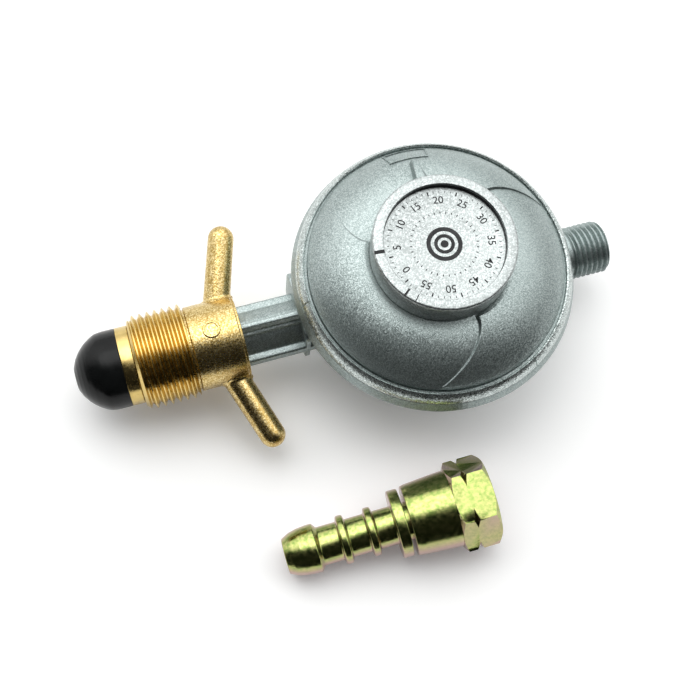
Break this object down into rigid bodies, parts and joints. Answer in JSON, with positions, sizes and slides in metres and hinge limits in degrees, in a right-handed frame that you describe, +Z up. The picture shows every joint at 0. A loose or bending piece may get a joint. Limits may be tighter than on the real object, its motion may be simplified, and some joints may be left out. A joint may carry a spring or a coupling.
{
  "type": "low-pressure gas regulator",
  "caption": "Round low-pressure propane regulator with a winged left-hand inlet nut, soft nose seal and threaded outlet, lying beside its loose barbed hose fitting.",
  "frame": {"origin": "on the disc's axis, on the regulator's flat base", "axes": "+Z up along the disc's axis through the label cap; -X along the inlet stem to the bottle, +X to the outlet"},
  "size_m": [0.1338, 0.0978, 0.0453],
  "materials": {
    "body_casting": "speckled silver-grey metallic paint",
    "bonnet": "speckled silver-grey metallic paint",
    "label_cap": "silver-white plastic with fine sparkle",
    "spring_seat": "zinc plated",
    "adjuster_screw": "black acetal",
    "main_spring": "bright spring wire",
    "diaphragm": "moulded nitrile",
    "diaphragm_plate": "zinc plated",
    "hook_stem": "machined",
    "relief_spring": "bright spring wire",
    "relief_retainer": "machined",
    "lever": "zinc plated",
    "lever_pin": "ground",
    "lever_bracket": "die cast",
    "bracket_screws": "zinc plated",
    "valve_slider": "machined",
    "valve_pad": "nitrile",
    "inlet_nozzle": "machined",
    "inlet_spigot": "machined",
    "nose_seal": "moulded nitrile, matte",
    "inlet_filter": "sintered bronze",
    "spigot_seal": "nitrile",
    "wing_nut": "machined thread, blasted barrel and wings",
    "hose_tail": "yellow passivated zinc on steel",
    "retaining_ring": "spring wire",
    "sealing_washer": "nitrile",
    "swivel_nut": "yellow passivated zinc on steel"
  },
  "bodies": {
    "regulator_body": {"body_casting": "body_casting", "bonnet": "bonnet", "lever_bracket": "lever_bracket", "bracket_screws": "bracket_screws", "lever_pin": "lever_pin", "inlet_nozzle": "inlet_nozzle", "inlet_spigot": "inlet_spigot", "nose_seal": "nose_seal", "inlet_filter": "inlet_filter", "spigot_seal": "spigot_seal", "diaphragm": "diaphragm", "main_spring": "main_spring"},
    "cap": {"label_cap": "label_cap"},
    "spring_carrier": {"spring_seat": "spring_seat"},
    "adjuster": {"adjuster_screw": "adjuster_screw"},
    "hook": {"hook_stem": "hook_stem", "relief_retainer": "relief_retainer", "relief_spring": "relief_spring"},
    "pressure_plate": {"diaphragm_plate": "diaphragm_plate"},
    "valve_lever": {"lever": "lever"},
    "valve": {"valve_slider": "valve_slider", "valve_pad": "valve_pad"},
    "inlet_nut": {"wing_nut": "wing_nut"},
    "fitting": {"hose_tail": "hose_tail", "retaining_ring": "retaining_ring", "sealing_washer": "sealing_washer"},
    "fitting_nut": {"swivel_nut": "swivel_nut"}
  },
  "joints": [
    {"name": "nut_spin", "type": "hinge", "parent": "regulator_body", "child": "inlet_nut", "pos_m": [-0.0543, 0, 0.014], "axis": [1, 0, 0], "continuous": true},
    {"name": "cap_lift", "type": "slide", "parent": "regulator_body", "child": "cap", "axis": [0, 0, 1], "range_m": [0, 0.012]},
    {"name": "adjuster_travel", "type": "slide", "parent": "regulator_body", "child": "spring_carrier", "axis": [0, 0, 1], "range_m": [-0.0015, 0.0015]},
    {"name": "adjuster_turn", "type": "hinge", "parent": "spring_carrier", "child": "adjuster", "pos_m": [0, 0, 0.037], "axis": [0, 0, 1], "range_deg": [-362, 362]},
    {"name": "diaphragm_lift", "type": "slide", "parent": "regulator_body", "child": "hook", "axis": [0, 0, 1], "range_m": [0, 0.0024], "deforming": ["main_spring", "diaphragm"]},
    {"name": "lever_swing", "type": "hinge", "parent": "regulator_body", "child": "valve_lever", "pos_m": [-0.015, 0, 0.0085], "axis": [0, -1, 0], "range_deg": [0, 9.3]},
    {"name": "valve_slide", "type": "slide", "parent": "regulator_body", "child": "valve", "axis": [-1, 0, 0], "range_m": [0, 0.0009]},
    {"name": "relief_lift", "type": "slide", "parent": "hook", "child": "pressure_plate", "axis": [0, 0, 1], "range_m": [0, 0.001], "deforming": ["relief_spring"]},
    {"name": "fitting_lift", "type": "slide", "parent": "regulator_body", "child": "fitting", "axis": [0, 0, 1], "range_m": [0, 0.03]},
    {"name": "swivel_spin", "type": "hinge", "parent": "fitting", "child": "fitting_nut", "pos_m": [-0.0052, -0.05285, 0.00989], "axis": [0.9956, -0.007, 0.0933], "continuous": true}
  ],
  "couplings": [
    {"joint": "adjuster_turn", "follows": "adjuster_travel", "rad_per_m": 4188.8},
    {"joint": "lever_swing", "follows": "diaphragm_lift", "rad_per_m": 66.667},
    {"joint": "valve_slide", "follows": "diaphragm_lift", "ratio": 0.36667}
  ]
}
